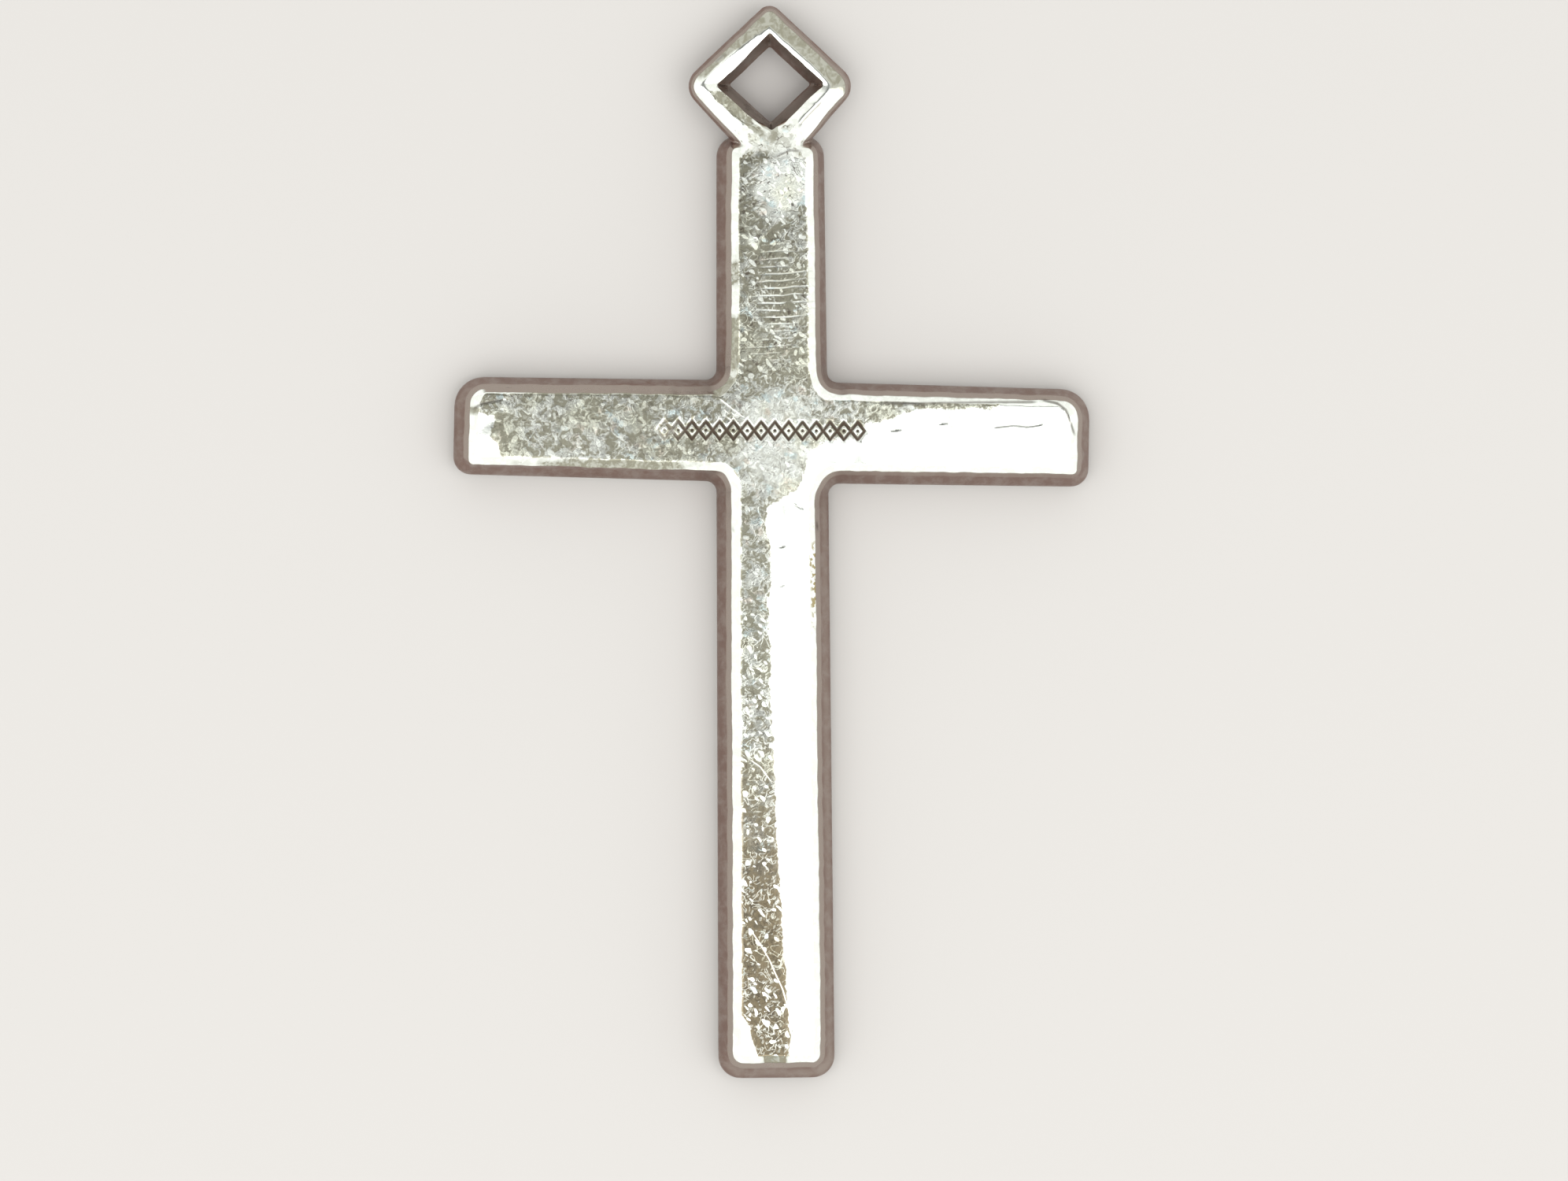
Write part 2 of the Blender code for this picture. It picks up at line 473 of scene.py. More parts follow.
def extent(face, axis):
    """The lowest and the highest place of a face along an axis."""
    places = [vert.co[axis] for vert in face.verts]
    return min(places), max(places)


def runs_straight(level, axis):
    """Whether a level across an arm is clear of the eye and of the corners where the arms meet."""
    if axis == 0:
        return abs(level) > HALF_UPRIGHT + CORNER_REACH
    return level < HEAD_REACH - CORNER_REACH and abs(abs(level) - HALF_CROSSBAR) > CORNER_REACH


def cut_grid(mesh, spacing):
    """Cuts long and wide faces into a grid, which is coarser on the flat underside, and leaves the
    finer faces of the corners alone."""
    for axis in (0, 1):
        low = min(vert.co[axis] for vert in mesh.verts)
        high = max(vert.co[axis] for vert in mesh.verts)
        count = math.ceil((high - low) / spacing)
        step = (high - low) / count
        normal = Vector((0, 0, 0))
        normal[axis] = 1
        waiting = mesh.faces[:]
        for index in range(1, count):
            level = low + step * index
            sparse = index % UNDERSIDE_STEPS > 0 and runs_straight(level, axis)
            crossed = []
            above = []
            for face in waiting:
                bottom, top = extent(face, axis)
                if top > level and top - bottom > LONG_FACE * step:
                    underneath = extent(face, 2)[1] < UNDERSIDE_TOP
                    group = above if bottom >= level or (sparse and underneath) else crossed
                    group.append(face)
            edges = {edge for face in crossed for edge in face.edges}
            verts = {vert for face in crossed for vert in face.verts}
            cut = bmesh.ops.bisect_plane(
                mesh,
                geom=list(verts) + list(edges) + crossed,
                dist=step * 0.02,
                plane_co=normal * level,
                plane_no=normal,
            )
            waiting = above + [part for part in cut["geom"] if isinstance(part, bmesh.types.BMFace)]


def subdivided(mesh):
    """The mesh after one step of Catmull-Clark subdivision."""
    data = bpy.data.meshes.new("rough_cross")
    mesh.to_mesh(data)
    mesh.free()
    obj = bpy.data.objects.new("rough_cross", data)
    bpy.context.scene.collection.objects.link(obj)
    modifier = obj.modifiers.new("round_edges", "SUBSURF")
    modifier.levels = 1
    modifier.render_levels = 1
    evaluated = obj.evaluated_get(bpy.context.evaluated_depsgraph_get())
    finer = bmesh.new()
    finer.from_mesh(evaluated.to_mesh())
    evaluated.to_mesh_clear()
    bpy.data.objects.remove(obj, do_unlink=True)
    bpy.data.meshes.remove(data)
    return finer


def beyond_hole(place, softness=0):
    """How far outside the hole's rim a place is, negative in the hole; the softness rounds the left
    and right corners of the diamond-shaped distance."""
    offset = place.xy - EYE_MIDDLE
    upwards = math.hypot(offset.y, softness)
    share = abs(offset.x) / HOLE_HALF_WIDTH + upwards / HOLE_HALF_HEIGHT
    return (share - 1) * HOLE_INRADIUS


def straighten_hole(mesh):
    """Turns the rounded walls of the hole's upper half into steep straight ones with a clean rim."""
    for vert in mesh.verts:
        inset = -beyond_hole(vert.co)
        if vert.co.z > EYE_GIRTH and -0.01 < inset < HOLE_DEPTH + 0.1 and vert.co.y > HEAD_REACH - 0.5:
            rise = min((vert.co.z - EYE_GIRTH) / (EYE_CREST - EYE_GIRTH), 1)
            rounded = HOLE_DEPTH * math.sqrt(1 - rise**2)
            straight = HOLE_DEPTH * (1 - rise) - RIM_CUT * rise
            share = (HOLE_INRADIUS - straight) / (HOLE_INRADIUS - rounded)
            moved = EYE_MIDDLE + (vert.co.xy - EYE_MIDDLE) * share
            vert.co = (moved.x, moved.y, vert.co.z)


def eye_side(place):
    """The eye's ridge and inner slope at a place, blended where two sides meet."""
    offset = place.xy - EYE_MIDDLE
    right = smooth_step(-0.35, 0.35, offset.x)
    upper = smooth_step(-0.3, 0.3, offset.y)
    blended = []
    for sides in zip(EYE_UPPER_LEFT, EYE_UPPER_RIGHT, EYE_LOWER_LEFT, EYE_LOWER_RIGHT):
        above = sides[0] + (sides[1] - sides[0]) * right
        below = sides[2] + (sides[3] - sides[2]) * right
        blended.append(below + (above - below) * upper)
    ridge, inner_slope = blended
    narrow = upper * (1 - smooth_step(-0.3, 1.7, abs(offset.x)))
    return EyeSide(ridge + (TOP_RIDGE - ridge) * narrow, inner_slope)


def refine_eye(mesh):
    """Divides the faces on top of the eye finely enough to hold its ridge."""
    edges = [
        edge
        for edge in mesh.edges
        if all(vert.co.z > 1.25 and vert.co.y > HEAD_REACH - 0.2 for vert in edge.verts)
        and beyond_hole((edge.verts[0].co + edge.verts[1].co) / 2) < EYE_TOP_FINE
    ]
    bmesh.ops.subdivide_edges(mesh, edges=edges, cuts=2, use_grid_fill=True)


def vertex_layers(mesh):
    """The layers of the values that the material reads at each vertex, by name."""
    layers = mesh.verts.layers.float
    return {name: layers.get(name) or layers.new(name) for name in VERTEX_VALUES}


def shape_eye(mesh):
    """Files the eye's flat top into a ridge, with a slope to the hole and one to the outside."""
    layers = vertex_layers(mesh)
    film = layers["film"]
    polish = layers["polish"]
    for vert in mesh.verts:
        if vert.co.y > HEAD_REACH - 0.3 and vert.co.z > EYE_TOP_FROM:
            side = eye_side(vert.co)
            offset = vert.co.xy - EYE_MIDDLE
            rough = 0.4 if offset.x > 0 else 1
            ripple = rough * (0.05 * noise.noise(vert.co * 1.7) + 0.03 * noise.noise(vert.co * 5.1))
            outside = beyond_hole(vert.co, CORNER_SOFTNESS) - side.ridge - ripple
            drop = math.hypot(outside, RIDGE_ROUND) - RIDGE_ROUND
            if outside > 0:
                roof = EYE_CREST - OUTER_SLOPE * drop
                blend = smooth_step(HEAD_REACH - 0.15, HEAD_REACH + 0.2, vert.co.y)
            else:
                roof = EYE_CREST - side.inner_slope * drop
                blend = smooth_step(HEAD_REACH + 0.1, HEAD_REACH + 0.6, vert.co.y)
            vert.co.z = min(vert.co.z, roof * blend + vert.co.z * (1 - blend))
            upper = smooth_step(-0.1, 0.15, offset.y + 0.1 * offset.x)
            rough_side = outside <= 0 and offset.x < 0.2 and offset.y < -0.2
            # On the upper outer slopes the film is painted shade: a grey-green tarnish for their darker
            # reflection.
            if outside > 0:
                vert[film] = upper * smooth_step(0, 0.06, outside)
            elif rough_side:
                vert[film] = 0.9 * smooth_step(-0.05, 0.3, noise.noise(vert.co * 3.1) + 0.2)
            vert[polish] = 0 if rough_side else blend


def fill_neck(mesh):
    """Lets the face run out gently over the neck, where the solid has a bevel and a step."""
    for vert in mesh.verts:
        place = vert.co
        if place.z > BACK_START and NECK_START - 0.3 < place.y < NECK_END:
            start = NECK_START + 0.35 * noise.noise(Vector((place.x * 1.3, 4, 2)))
            ramp = THICKNESS - (THICKNESS - EYE_CREST) * smooth_step(start, NECK_END, place.y)
            side = 1 - smooth_step(0.7, 1.2, abs(place.x))
            fade = 1 - smooth_step(NECK_END - 0.7, NECK_END, place.y)
            place.z += max(ramp - place.z, 0) * side * fade
    neck = [
        vert
        for vert in mesh.verts
        if -1.0 < vert.co.y - HEAD_REACH < 0.7 and abs(vert.co.x) < 1.25 and vert.co.z > 1.2
        and beyond_hole(vert.co) > 0.12
    ]
    for _ in range(NECK_SMOOTHINGS):
        bmesh.ops.smooth_vert(
            mesh, verts=neck, factor=0.5, use_axis_x=True, use_axis_y=True, use_axis_z=True
        )


def photo_place(pixel):
    """Where a pixel of the photograph lies, in millimetres from the crossing."""
    right = (pixel[0] - CROSSING_PIXEL[0]) / PIXELS_PER_MM
    up = (CROSSING_PIXEL[1] - pixel[1]) / PIXELS_PER_MM
    return Vector((right, up))


def beyond_edge(place, edge):
    """How far a place lies to the left of a bent line, going along it; negative on its right."""
    nearest = None
    for start, end in zip(edge, edge[1:]):
        span = end - start
        share = min(max((place - start).dot(span) / span.length_squared, 0), 1)
        offset = place - start - span * share
        if nearest is None or offset.length < abs(nearest):
            nearest = math.copysign(offset.length, span.cross(place - start))
    return nearest


def score_places(place, lines):
    """How far beside the nearest scratch a place lies, how deep it is there, and its dirt."""
    beside, line, dirt = min(
        ((beyond_edge(place.xy, line), line, dirt) for line, dirt in lines), key=lambda one: abs(one[0])
    )
    first = (line[1] - line[0]).normalized().dot(place.xy - line[0])
    last = (line[-2] - line[-1]).normalized().dot(place.xy - line[-1])
    depth = smooth_step(0, 0.25, first) * smooth_step(0, 0.25, last)
    return beside, depth if abs(beside) < SCORE_REACH else 0, dirt


def patch_share(place, patches):
    """How much of the given patches lies at a place; their edges are uneven."""
    ripple = 0.3 * noise.noise(place * 1.9) + 0.2 * noise.noise(place * 5.3)
    share = 0
    for patch in patches:
        offset = place.xy - photo_place(patch.middle)
        reach = Vector(patch.reach) / PIXELS_PER_MM
        distance = math.hypot(offset.x / reach.x, offset.y / reach.y) + ripple
        share = max(share, patch.strength * (1 - smooth_step(0.6, 1.2, distance)))
    return share


def facet_depths(place, edges):
    """How far each filed facet lies under the plain face at a place, as a share of its slope."""
    ripple = 0.08 * noise.noise(place * 2.1) + 0.02 * noise.noise(place * 6.3)
    depths = []
    for facet, edge in zip(FACETS, edges):
        inside = max(beyond_edge(place.xy, edge) + ripple, 0)
        depths.append(facet.width * math.tanh(inside / facet.width))
    return depths


def punch_place(place):
    """A place on the back, measured along and across the row of punches from its first one."""
    return Matrix.Rotation(-PUNCH_TURN, 2) @ (place.xy - PUNCH_START)


def punch_share(place):
    """How much of the full depth the punched band has at a place: lozenges that touch, tip to tip,
    with a small dot in the middle of each; the first ones were struck more lightly."""
    along, across = punch_place(place)
    index = min(max(round(along / PUNCH_PITCH), 0), PUNCH_COUNT - 1)
    aside = abs(along - index * PUNCH_PITCH)
    slant = math.hypot(PUNCH_HALF_WIDTH, PUNCH_HALF_HEIGHT)
    share = aside / PUNCH_HALF_WIDTH + abs(across) / PUNCH_HALF_HEIGHT - 1
    line = abs(share) * PUNCH_HALF_WIDTH * PUNCH_HALF_HEIGHT / slant
    distance = min(line, math.hypot(aside, across))
    struck = 0.35 + 0.65 * smooth_step(-0.4, 0.8, along)
    return struck * (1 - smooth_step(STROKE_CORE, STROKE_EDGE, distance))


def refine_punches(mesh):
    """Divides the faces under the row of punches finely enough to hold them."""
    length = PUNCH_PITCH * (PUNCH_COUNT - 1)
    edges = []
    for edge in mesh.edges:
        middle = (edge.verts[0].co + edge.verts[1].co) / 2
        along, across = punch_place(middle)
        aside = abs(along - length / 2) - length / 2
        if middle.z > BEVEL_FOOT and aside < PUNCH_REACH.x and abs(across) < PUNCH_REACH.y:
            edges.append(edge)
    bmesh.ops.subdivide_edges(mesh, edges=edges, cuts=3, use_grid_fill=True)


def crown_drop(place):
    """How far the crowned face lies under its middle line, as a share of the crown."""
    turned = Matrix.Rotation(CROSSBAR_LEAN, 2) @ place.xy
    in_upright = 1 - abs(place.x) / HALF_UPRIGHT
    in_crossbar = 1 - abs(turned.y) / HALF_CROSSBAR
    depth = (max(in_upright, 0) ** 6 + max(in_crossbar, 0) ** 6) ** (1 / 6)
    return (1 - min(depth, 1)) ** 2


def draw_in_top(mesh):
    """Draws the upper edges in a little towards the crossing, and lets them run slightly uneven."""
    for vert in mesh.verts:
        place = vert.co
        if place.z > GIRTH_HEIGHT:
            share = smooth_step(GIRTH_HEIGHT, WALL_TOP, place.z)
            place.xy += EYE_SHIFT * smooth_step(HEAD_REACH, HEAD_REACH + 0.8, place.y) * share
            lower_right = smooth_step(HALF_CROSSBAR, 2.4, -place.y) * smooth_step(0.7, 1.4, place.x)
            place.x -= FOOT_RIGHT_LEAN * lower_right * share
            level = Vector((place.x * 0.3, place.y, 2))
            upright = Vector((place.x, place.y * 0.3, 7))
            uneven_x = 0.025 * noise.noise(level * 1.1) + 0.02 * noise.noise(level * 3.7)
            uneven_y = 0.025 * noise.noise(upright * 1.3) + 0.02 * noise.noise(upright * 3.9)
            place.x += share * (uneven_x - DRAW_IN_ACROSS * place.x)
            place.y += share * (uneven_y - DRAW_IN_ALONG * place.y)


def record_marks(vert, layers, lines):
    """Writes the scratches and patches at a vertex of the back down for the material."""
    beside, depth, dirt = score_places(vert.co, lines)
    vert[layers["beside_score"]] = beside
    vert[layers["score_depth"]] = depth
    vert[layers["score_dirt_and_shade"]] = dirt
    for name, patches in PATCHES.items():
        vert[layers[name]] = patch_share(vert.co, patches)


def finish_surface(mesh, finish):
    """Files the facets, presses the punches in, and leaves slow waves in the polished faces."""
    layers = vertex_layers(mesh)
    film = layers["film"]
    polish = layers["polish"]
    lines = [([photo_place(pixel) for pixel in score.line], score.dirt) for score in SCORES]
    edges = [[photo_place(pixel) for pixel in facet.edge] for facet in FACETS]
    mesh.normal_update()
    moves = []
    for vert in mesh.verts:
        place = vert.co
        slow = noise.noise(place * 0.45) + 0.4 * noise.noise(place * 1.3 + Vector((7, 3, 1)))
        wave = finish.wave / MM * (slow - 1) * smooth_step(0.05, GIRTH_HEIGHT, place.z)
        move = vert.normal * wave
        vert[layers["wall"]] = 1 - abs(vert.normal.z)
        if place.z > GIRTH_HEIGHT and place.y < HEAD_REACH + 1:
            depths = facet_depths(place, edges)
            share = smooth_step(GIRTH_HEIGHT, BEVEL_FOOT, place.z)
            for depth, facet in zip(depths, FACETS):
                move.z -= depth * facet.slope * share
            move.z -= finish.crown / MM * crown_drop(place) * share
            # In the listed patches the film dims the bevel; at the left tip's corner this is painted
            # shadow.
            bevel = 1 - smooth_step(0.9, 0.985, vert.normal.z)
            dimmed = patch_share(place, DULL_AND_SHADED_BEVEL_PATCHES)
            vert[film] = max(vert[film], bevel * dimmed)
            vert[polish] = max(vert[polish], smooth_step(0, 0.2, max(depths)), bevel * (1 - dimmed))
        if place.z > BACK_START:
            record_marks(vert, layers, lines)
        if place.z > BEVEL_FOOT:
            vert[layers["recess"]] = punch_share(place)
            move.z -= vert[layers["recess"]] * finish.punch_depth / MM
        moves.append(move)
    for vert, move in zip(mesh.verts, moves):
        vert.co += move


def shaped_object(name, mesh):
    """An object at the origin whose mesh is the given one, turned into metres in the frame."""
    bmesh.ops.translate(mesh, vec=crossing(), verts=mesh.verts)
    bmesh.ops.scale(mesh, vec=(MM,) * 3, verts=mesh.verts)
    data = bpy.data.meshes.new(name)
    mesh.to_mesh(data)
    mesh.free()
    data.shade_smooth()
    obj = bpy.data.objects.new(name, data)
    bpy.context.scene.collection.objects.link(obj)
    return obj


class Tree:
    """A node tree that is written as steps: each adds a node and feeds it values or sockets."""

    def __init__(self, nodes):
        self.nodes = nodes.nodes
        self.links = nodes.links

    def add(self, kind, inputs=None, **settings):
        node = self.nodes.new(kind)
        for name, value in settings.items():
            setattr(node, name, value)
        for key, value in (inputs or {}).items():
            if isinstance(value, bpy.types.NodeSocket):
                self.links.new(value, node.inputs[key])
            else:
                node.inputs[key].default_value = value
        return node

    def attribute(self, name):
        return self.add("ShaderNodeAttribute", attribute_name=name).outputs["Fac"]

    def math(self, operation, first, second=0.0):
        return self.add("ShaderNodeMath", {0: first, 1: second}, operation=operation).outputs[0]

    def product(self, first, *others):
        for other in others:
            first = self.math("MULTIPLY", first, other)
        return first

    def total(self, first, *others):
        for other in others:
            first = self.math("ADD", first, other)
        return first

    def most(self, first, *others):
        for other in others:
            first = self.math("MAXIMUM", first, other)
        return first

    def rest(self, share):
        return self.math("SUBTRACT", 1.0, share)

    def vector(self, operation, first, second):
        node = self.add("ShaderNodeVectorMath", {0: first, 1: second}, operation=operation)
        return node.outputs["Vector"]

    def turn(self, vector, angle):
        inputs = {"Vector": vector, "Angle": angle}
        return self.add("ShaderNodeVectorRotate", inputs, rotation_type="Z_AXIS").outputs[0]

    def ramp(self, value, low, high, start=0.0, end=1.0):
        """The value's rise from low to high as a smooth rise from start to end."""
        node = self.add(
            "ShaderNodeMapRange",
            {"Value": value, "From Min": low, "From Max": high, "To Min": start, "To Max": end},
            interpolation_type="SMOOTHSTEP",
        )
        return node.outputs[0]

    def mix(self, share, first, second):
        node = self.add(
            "ShaderNodeMix", {"Factor": share, "A": first, "B": second}, data_type="RGBA"
        )
        return node.outputs["Result"]

    def layers(self, colour, *covers):
        """A colour under layers, each given by its share and its colour."""
        for share, cover in covers:
            colour = self.mix(share, colour, (*cover, 1))
        return colour

    def noise(self, vector, scale, detail=2.0, roughness=0.5, distortion=0.0):
        node = self.add(
            "ShaderNodeTexNoise",
            {
                "Vector": vector,
                "Scale": scale,
                "Detail": detail,
                "Roughness": roughness,
                "Distortion": distortion,
            },
        )
        return node.outputs["Fac"]

    def group(self, tree, **inputs):
        node = self.add("ShaderNodeGroup")
        node.node_tree = tree
        for key, value in inputs.items():
            socket = node.inputs[key.replace("_", " ")]
            if isinstance(value, bpy.types.NodeSocket):
                self.links.new(value, socket)
            else:
                socket.default_value = value
        return node.outputs[0]


def new_group(name, inputs, output):
    """An empty shader node group with named inputs and one output, and its two end nodes."""
    group = bpy.data.node_groups.new(name, "ShaderNodeTree")
    for socket_name, kind, default in inputs:
        socket = group.interface.new_socket(name=socket_name, in_out="INPUT", socket_type=kind)
        socket.default_value = default
    group.interface.new_socket(name=output, in_out="OUTPUT", socket_type="NodeSocketFloat")
    tree = Tree(group)
    start = tree.add("NodeGroupInput")
    end = tree.add("NodeGroupOutput")
    return group, tree, start.outputs, end.inputs


def hair_group():
    """Fine scratches that all run one way, broken up in patches."""
    group, tree, given, result = new_group(
        "Hair scratches",
        (
            ("Vector", "NodeSocketVector", (0, 0, 0)),
            ("Turn", "NodeSocketFloat", 0.0),
            ("Fineness", "NodeSocketFloat", 12.0),
            ("Length", "NodeSocketFloat", 1.5),
            ("Cover", "NodeSocketFloat", 0.5),
        ),
        "Mask",
    )
    turned = tree.turn(given["Vector"], given["Turn"])
    along = tree.math("DIVIDE", 1.0, given["Length"])
    squeeze = tree.add("ShaderNodeCombineXYZ", {"X": along, "Y": given["Fineness"], "Z": 0.5})
    streaks = tree.noise(tree.vector("MULTIPLY", turned, squeeze.outputs[0]), 1.0, 2.0, 0.6)
    line = tree.math("ABSOLUTE", tree.math("SUBTRACT", streaks, 0.5))
    thin = tree.ramp(line, 0.0, 0.035, 1.0, 0.0)
    patches = tree.noise(given["Vector"], 0.9, 2.0)
    bare = tree.rest(given["Cover"])
    cover = tree.ramp(patches, tree.total(bare, -0.12), tree.total(bare, 0.12))
    tree.links.new(tree.product(thin, cover), result["Mask"])
    return group


def skin_group():
    """The uneven skin that casting and hand polishing leave: soft swirls with finer ones in them."""
    group, tree, given, result = new_group(
        "Casting skin",
        (
            ("Vector", "NodeSocketVector", (0, 0, 0)),
            ("Size", "NodeSocketFloat", 0.3),
            ("Swirl", "NodeSocketFloat", 0.8),
        ),
        "Height",
    )
    scale = tree.math("DIVIDE", 1.0, given["Size"])
    coarse = tree.noise(given["Vector"], scale, 2.0, 0.55, given["Swirl"])
    fine = tree.noise(given["Vector"], tree.product(scale, 3.1), 1.0, 0.5, 0.4)
    mixed = tree.total(tree.product(coarse, 0.8), tree.product(fine, 0.2))
    tree.links.new(mixed, result["Height"])
    return group


def curl_group():
    """Thin curly strokes with gaps in them."""
    group, tree, given, result = new_group(
        "Curly strokes",
        (
            ("Vector", "NodeSocketVector", (0, 0, 0)),
            ("Size", "NodeSocketFloat", 0.4),
            ("Width", "NodeSocketFloat", 0.035),
        ),
        "Mask",
    )
    scale = tree.math("DIVIDE", 1.0, given["Size"])
    field = tree.noise(given["Vector"], scale, 1.0, 0.5, 1.4)
    line = tree.math("ABSOLUTE", tree.math("SUBTRACT", field, 0.5))
    thin = tree.ramp(line, 0.0, given["Width"], 1.0, 0.0)
    gaps = tree.ramp(tree.noise(given["Vector"], tree.product(scale, 0.8), 1.0), 0.44, 0.54)
    tree.links.new(tree.product(thin, gaps), result["Mask"])
    return group


def file_mark_group():
    """Short parallel grooves that a file left crosswise."""
    group, tree, given, result = new_group(
        "File marks",
        (
            ("Vector", "NodeSocketVector", (0, 0, 0)),
            ("Pitch", "NodeSocketFloat", 0.24),
        ),
        "Mask",
    )
    parts = tree.add("ShaderNodeSeparateXYZ", {"Vector": given["Vector"]}).outputs
    bend = tree.product(tree.noise(given["Vector"], 1.1, 1.0), 0.6)
    phase = tree.total(tree.math("DIVIDE", parts["Y"], given["Pitch"]), bend)
    phase = tree.total(phase, tree.product(parts["X"], -0.2))
    line = tree.ramp(tree.math("PINGPONG", phase, 0.5), 0.0, 0.2, 1.0, 0.0)
    flat = tree.vector("MULTIPLY", given["Vector"], (0.8, 4.0, 1.0))
    breaks = tree.ramp(tree.noise(flat, 1.0, 2.0), 0.36, 0.46)
    tree.links.new(tree.product(line, breaks), result["Mask"])
    return group


def drops_group():
    """Drop-shaped flecks, lying aslant, of many sizes and with gaps between them."""
    group, tree, given, result = new_group(
        "Drop flecks",
        (
            ("Vector", "NodeSocketVector", (0, 0, 0)),
            ("Turn", "NodeSocketFloat", 0.6),
            ("Size", "NodeSocketFloat", 0.3),
            ("Cover", "NodeSocketFloat", 0.6),
        ),
        "Mask",
    )
    bent = tree.add("ShaderNodeTexNoise", {"Vector": given["Vector"], "Scale": 2.5, "Detail": 1.0})
    shift = tree.vector("MULTIPLY", bent.outputs["Color"], (0.35, 0.35, 0.0))
    moved = tree.vector("ADD", given["Vector"], shift)
    stretched = tree.vector("MULTIPLY", tree.turn(moved, given["Turn"]), (1.0, 2.0, 0.0))
    cells = tree.add(
        "ShaderNodeTexVoronoi",
        {"Vector": stretched, "Scale": tree.math("DIVIDE", 1.0, given["Size"])},
        voronoi_dimensions="2D",
    )
    chance = tree.add("ShaderNodeSeparateColor", {"Color": cells.outputs["Color"]}).outputs
    radius = tree.total(tree.product(chance["Red"], 0.3), 0.12)
    shown = tree.math("LESS_THAN", chance["Green"], given["Cover"])
    drop = tree.math("SUBTRACT", radius, cells.outputs["Distance"])
    mask = tree.ramp(drop, 0.0, 0.09)
    tree.links.new(tree.product(mask, shown), result["Mask"])
    return group


class SilverMasks:
    """Where the silver is polished, flecked, tarnished, scratched or punched, as shares from 0 to 1 in
    its material. Its places are in millimetres from the crossing."""

    def __init__(self, tree):
        self.place = tree.add(
            "ShaderNodeMapping",
            {
                "Vector": tree.add("ShaderNodeTexCoord").outputs["Object"],
                "Location": -crossing(),
                "Scale": (1 / MM,) * 3,
            },
        ).outputs[0]
        self.aside = tree.vector("ADD", self.place, (7.0, 3.0, 0.0))
        parts = tree.add("ShaderNodeSeparateXYZ", {"Vector": self.place}).outputs
        self.along = parts["Y"]
        self.height = parts["Z"]
        self.given = {name: tree.attribute(name) for name in VERTEX_VALUES}
        self.on_back = tree.ramp(self.height, BACK_START, BACK_START + 0.15)
        self.over_crossbar = tree.ramp(self.along, 0.9, 2.6)
        ragged = tree.product(tree.total(tree.noise(self.place, 5.5, 2.0, 0.6), -0.5), 0.9)
        self.polish = tree.ramp(tree.total(self.given["polish"], ragged), 0.35, 0.65)
        self.plain = tree.rest(self.polish)
        self.dull = tree.rest(tree.product(self.polish, 0.8))
        self.swirls = tree.group(skin_group(), Vector=self.place, Size=0.32, Swirl=0.9)
        marks = tree.group(file_mark_group(), Vector=self.place, Pitch=0.24)
        self.marks = tree.product(marks, self.given["filed"])
        self.scored = scored_share(tree, self)
        self.light_curls, self.dark_curls = curls(tree, self)
        self.fleck = fleck_share(tree, self)
        self.bare = tree.rest(self.fleck)
        self.tarnish = tarnish_share(tree, self)


def scored_share(tree, masks):
    """The scratches and file marks that stand out; dirty scratches are wider."""
    width = tree.ramp(masks.given["score_dirt_and_shade"], 0.0, 1.0, SCORE_WIDTH, DIRTY_SCORE_WIDTH)
    beside = tree.math("ABSOLUTE", masks.given["beside_score"])
    scored = tree.product(tree.ramp(beside, 0.0, width, 1.0, 0.0), masks.given["score_depth"])
    return tree.product(tree.most(scored, tree.product(masks.marks, 0.6)), masks.on_back)


def curls(tree, masks):
    """The light and the dark curly strokes of the casting's skin."""
    curl = curl_group()
    light = tree.group(curl, Vector=masks.aside, Size=0.42, Width=0.045)
    dark = tree.group(curl, Vector=masks.place, Size=0.36, Width=0.04)
    return light, dark


def fleck_share(tree, masks):
    """The bright flecks of the unpolished parts, strongest towards the foot."""
    drop = drops_group()
    large = tree.group(drop, Vector=masks.place, Turn=0.9, Size=0.37, Cover=0.45)
    small = tree.group(drop, Vector=masks.place, Turn=-0.7, Size=0.2, Cover=0.6)
    fleck = tree.most(tree.product(small, 0.45), large, tree.product(masks.light_curls, 0.8))
    strength = tree.ramp(masks.along, -9.0, -3.0, 1.0, 0.5)
    strength = tree.total(strength, tree.product(masks.over_crossbar, 0.25))
    return tree.product(tree.most(tree.product(fleck, strength), masks.marks), masks.plain)


def tarnish_share(tree, masks):
    """The thin tarnish, in swirls and clouds, which the flecks leave bare; it is left off in the pale
    patches as painted sheen.
    """
    haze = tree.product(tree.ramp(tree.noise(masks.place, 0.8, 4.0, 0.6), 0.4, 0.7), 0.2)
    mottle = tree.total(tree.ramp(masks.swirls, 0.58, 0.43, 0.3, 1.0), haze)
    mottle = tree.most(mottle, tree.product(masks.given["filed"], 0.8))
    # Painted shade: more tarnish over the upright above the crossbar, so that it lies darker.
    mottle = tree.total(mottle, tree.product(masks.over_crossbar, 0.2))
    # Painted sheen: the pale patches keep little tarnish, so they read bright.
    pale = tree.ramp(masks.given["pale"], 0.0, 1.0, 1.0, 0.08)
    return tree.product(mottle, masks.dull, pale, masks.bare)


